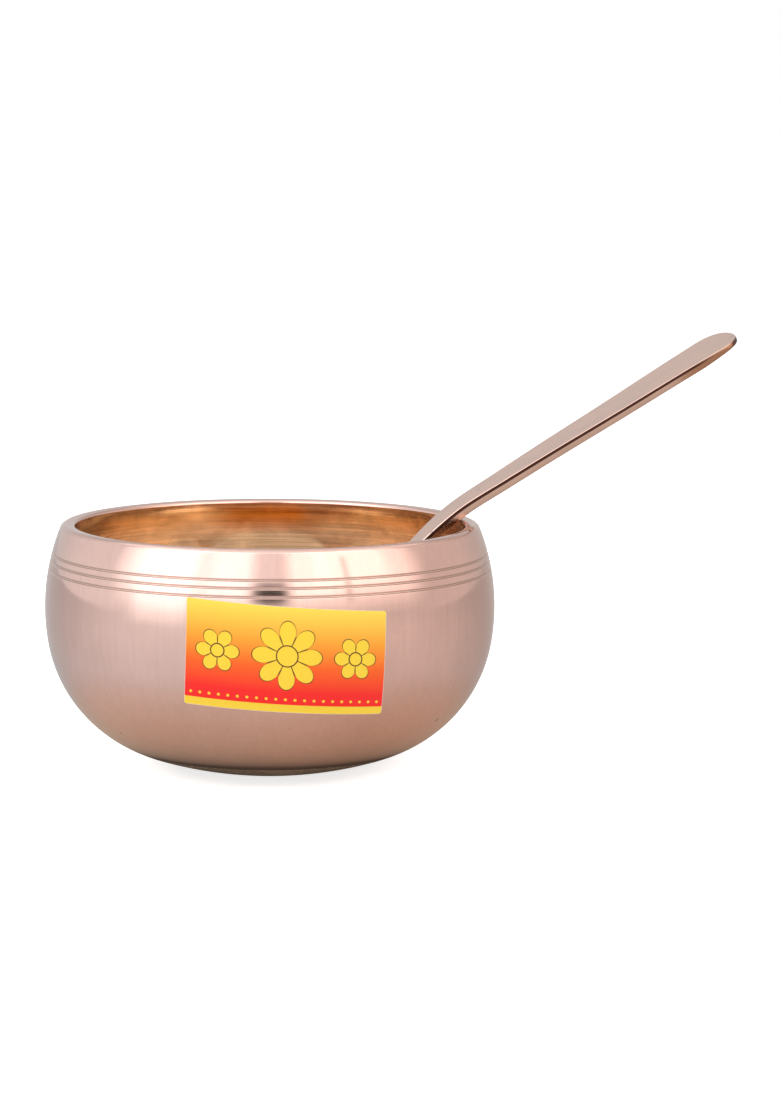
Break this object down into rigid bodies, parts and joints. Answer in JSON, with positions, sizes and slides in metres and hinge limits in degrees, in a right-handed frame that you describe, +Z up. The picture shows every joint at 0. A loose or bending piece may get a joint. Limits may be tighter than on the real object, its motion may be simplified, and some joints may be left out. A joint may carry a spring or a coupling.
{
  "type": "bowl with spoon",
  "caption": "Round turned bell-metal serving bowl with grooves below a thick rounded lip, a paper label on its belly and a matching spoon leaning in it.",
  "frame": {"origin": "centre of the foot, on the surface the bowl stands on", "axes": "+Z up along the bowl's turning axis, -Y towards the front with the label, +X to the right"},
  "size_m": [0.1721, 0.1105, 0.1047],
  "materials": {
    "turned_bronze": "polished and lathe-turned, pinkish bell metal",
    "spoon_bronze": "satin polish, pinkish bell metal",
    "printed_paper": "semi-gloss printed sticker"
  },
  "bodies": {
    "bowl": {"bowl": "turned_bronze", "label": "printed_paper"},
    "spoon": {"spoon": "spoon_bronze"}
  },
  "joints": [
    {"name": "spoon_lift", "type": "slide", "parent": "bowl", "child": "spoon", "axis": [0, 0, 1], "range_m": [0, 0.09]}
  ]
}
